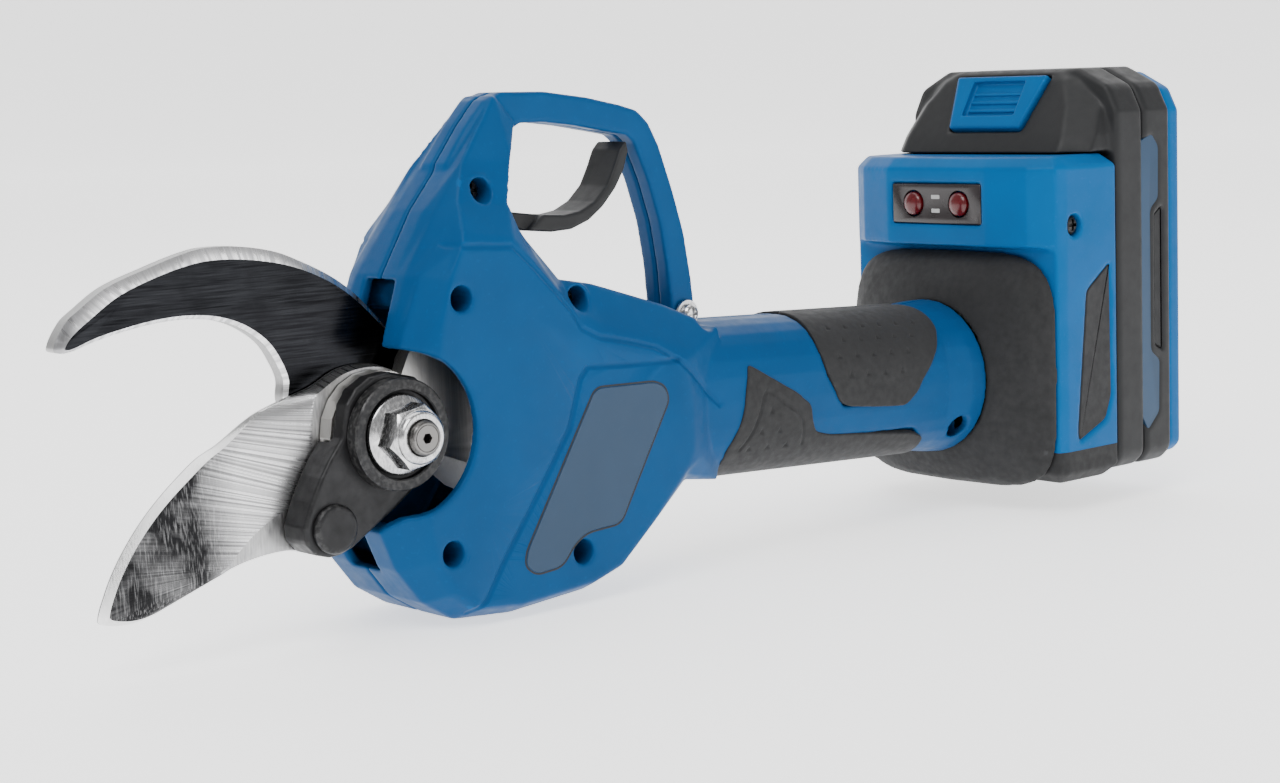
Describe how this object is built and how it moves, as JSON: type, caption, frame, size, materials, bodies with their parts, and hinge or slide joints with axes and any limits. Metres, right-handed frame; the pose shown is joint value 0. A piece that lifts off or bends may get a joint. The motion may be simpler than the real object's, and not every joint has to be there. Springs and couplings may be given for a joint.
{
  "type": "battery electric pruner",
  "caption": "Cordless bypass pruner with a hooked fixed blade, a swinging blade, a trigger guard, a grip with soft pads and a slide-on battery pack.",
  "frame": {"origin": "under the middle of the tool, at its lowest point, on the plane that parts the casing", "axes": "+X from the blades to the battery, +Z towards the trigger guard, -Y is the side of the pivot nut"},
  "size_m": [0.3294, 0.075, 0.12],
  "materials": {
    "casing_blue": "fine texture",
    "base_blue": "fine texture",
    "grip_rubber": "matte",
    "black_plastic": "satin",
    "panel_black": "gloss",
    "button_red": "gloss, translucent",
    "blade_steel": "ground and polished",
    "black_steel": "black oxide",
    "zinc_steel": "zinc plated",
    "dark_steel": "phosphated",
    "gear_steel": "machined",
    "gear_case_alloy": "die cast",
    "bush_bronze": "sintered",
    "terminal_brass": "plated",
    "board_green": "solder mask",
    "cell_sleeve": "sleeve"
  },
  "bodies": {
    "tool_body": {"left_casing": "casing_blue", "right_casing": "casing_blue", "left_upper_grip": "grip_rubber", "left_lower_grip": "grip_rubber", "right_upper_grip": "grip_rubber", "right_lower_grip": "grip_rubber", "casing_screw_1": "black_steel", "casing_screw_2": "black_steel", "casing_screw_3": "black_steel", "casing_screw_4": "black_steel", "casing_screw_5": "black_steel", "casing_screw_6": "black_steel", "guard_screw": "zinc_steel", "fixed_blade": "blade_steel", "pivot_bolt": "dark_steel", "pivot_nut": "zinc_steel", "thrust_ring": "black_steel", "pivot_bush": "bush_bronze", "gear_case": "gear_case_alloy", "pinion_bearing": "zinc_steel", "ring_gear": "gear_steel", "motor_can": "zinc_steel", "motor_stator": "dark_steel", "trigger_pin": "zinc_steel", "trigger_spring": "zinc_steel", "trigger_switch": "black_plastic", "base_housing": "base_blue", "base_boot": "grip_rubber", "control_panel": "panel_black", "panel_board": "board_green", "control_board": "board_green", "base_screw_left": "black_steel", "base_screw_right": "black_steel", "terminal_block": "black_plastic", "terminal_blade_1": "terminal_brass", "terminal_blade_2": "terminal_brass", "terminal_blade_3": "terminal_brass"},
    "cutting_blade": {"moving_blade": "blade_steel", "blade_arm": "black_steel", "arm_rivet": "black_steel", "bevel_sector": "gear_steel"},
    "pinion": {"bevel_pinion": "gear_steel"},
    "planet_1": {"planet_gear_1": "gear_steel"},
    "planet_2": {"planet_gear_2": "gear_steel"},
    "planet_3": {"planet_gear_3": "gear_steel"},
    "rotor": {"motor_rotor": "dark_steel"},
    "trigger": {"trigger": "black_plastic"},
    "battery": {"pack_tray": "black_plastic", "pack_cover": "black_plastic", "pack_back_plate": "base_blue", "battery_board": "board_green", "cell_1": "cell_sleeve", "cell_2": "cell_sleeve", "cell_3": "cell_sleeve", "cell_4": "cell_sleeve", "cell_5": "cell_sleeve"},
    "release_button": {"release_button": "base_blue"},
    "power_button": {"power_button": "button_red"},
    "mode_button": {"mode_button": "button_red"}
  },
  "joints": [
    {"name": "blade_swing", "type": "hinge", "parent": "tool_body", "child": "cutting_blade", "pos_m": [-0.09175, 0, 0.046], "axis": [0, 1, 0], "range_deg": [0, 48]},
    {"name": "pinion_spin", "type": "hinge", "parent": "tool_body", "child": "pinion", "pos_m": [-0.06178, 0, 0.04459], "axis": [0.9989, 0, -0.0471], "range_deg": [0, 192]},
    {"name": "rotor_spin", "type": "hinge", "parent": "tool_body", "child": "rotor", "pos_m": [-0.03182, 0, 0.04317], "axis": [0.9989, 0, -0.0471], "range_deg": [0, 768]},
    {"name": "planet_spin_1", "type": "hinge", "parent": "pinion", "child": "planet_1", "pos_m": [-0.03731, -0.009, 0.04343], "axis": [0.9989, 0, -0.0471], "range_deg": [-576, 0]},
    {"name": "planet_spin_2", "type": "hinge", "parent": "pinion", "child": "planet_2", "pos_m": [-0.03768, 0.0045, 0.03565], "axis": [0.9989, 0, -0.0471], "range_deg": [-576, 0]},
    {"name": "planet_spin_3", "type": "hinge", "parent": "pinion", "child": "planet_3", "pos_m": [-0.03694, 0.0045, 0.05122], "axis": [0.9989, 0, -0.0471], "range_deg": [-576, 0]},
    {"name": "trigger_pull", "type": "hinge", "parent": "tool_body", "child": "trigger", "pos_m": [-0.06175, 0, 0.09], "axis": [0, 1, 0], "range_deg": [0, 12], "stiffness_Nm_per_rad": 0.5, "springref_deg": -8.59},
    {"name": "battery_slide", "type": "slide", "parent": "tool_body", "child": "battery", "axis": [0, 0, 1], "range_m": [0, 0.1]},
    {"name": "release_press", "type": "slide", "parent": "battery", "child": "release_button", "axis": [0.8533, 0, -0.5214], "range_m": [0, 0.003], "stiffness_N_per_m": 1500, "springref_m": -0.001},
    {"name": "power_button_press", "type": "slide", "parent": "tool_body", "child": "power_button", "axis": [1, 0, 0], "range_m": [0, 0.0008], "stiffness_N_per_m": 800, "springref_m": -0.0005},
    {"name": "mode_button_press", "type": "slide", "parent": "tool_body", "child": "mode_button", "axis": [1, 0, 0], "range_m": [0, 0.0008], "stiffness_N_per_m": 800, "springref_m": -0.0005}
  ],
  "couplings": [
    {"joint": "pinion_spin", "follows": "blade_swing", "ratio": 4},
    {"joint": "rotor_spin", "follows": "blade_swing", "ratio": 16},
    {"joint": "planet_spin_1", "follows": "blade_swing", "ratio": -12},
    {"joint": "planet_spin_2", "follows": "blade_swing", "ratio": -12},
    {"joint": "planet_spin_3", "follows": "blade_swing", "ratio": -12}
  ]
}
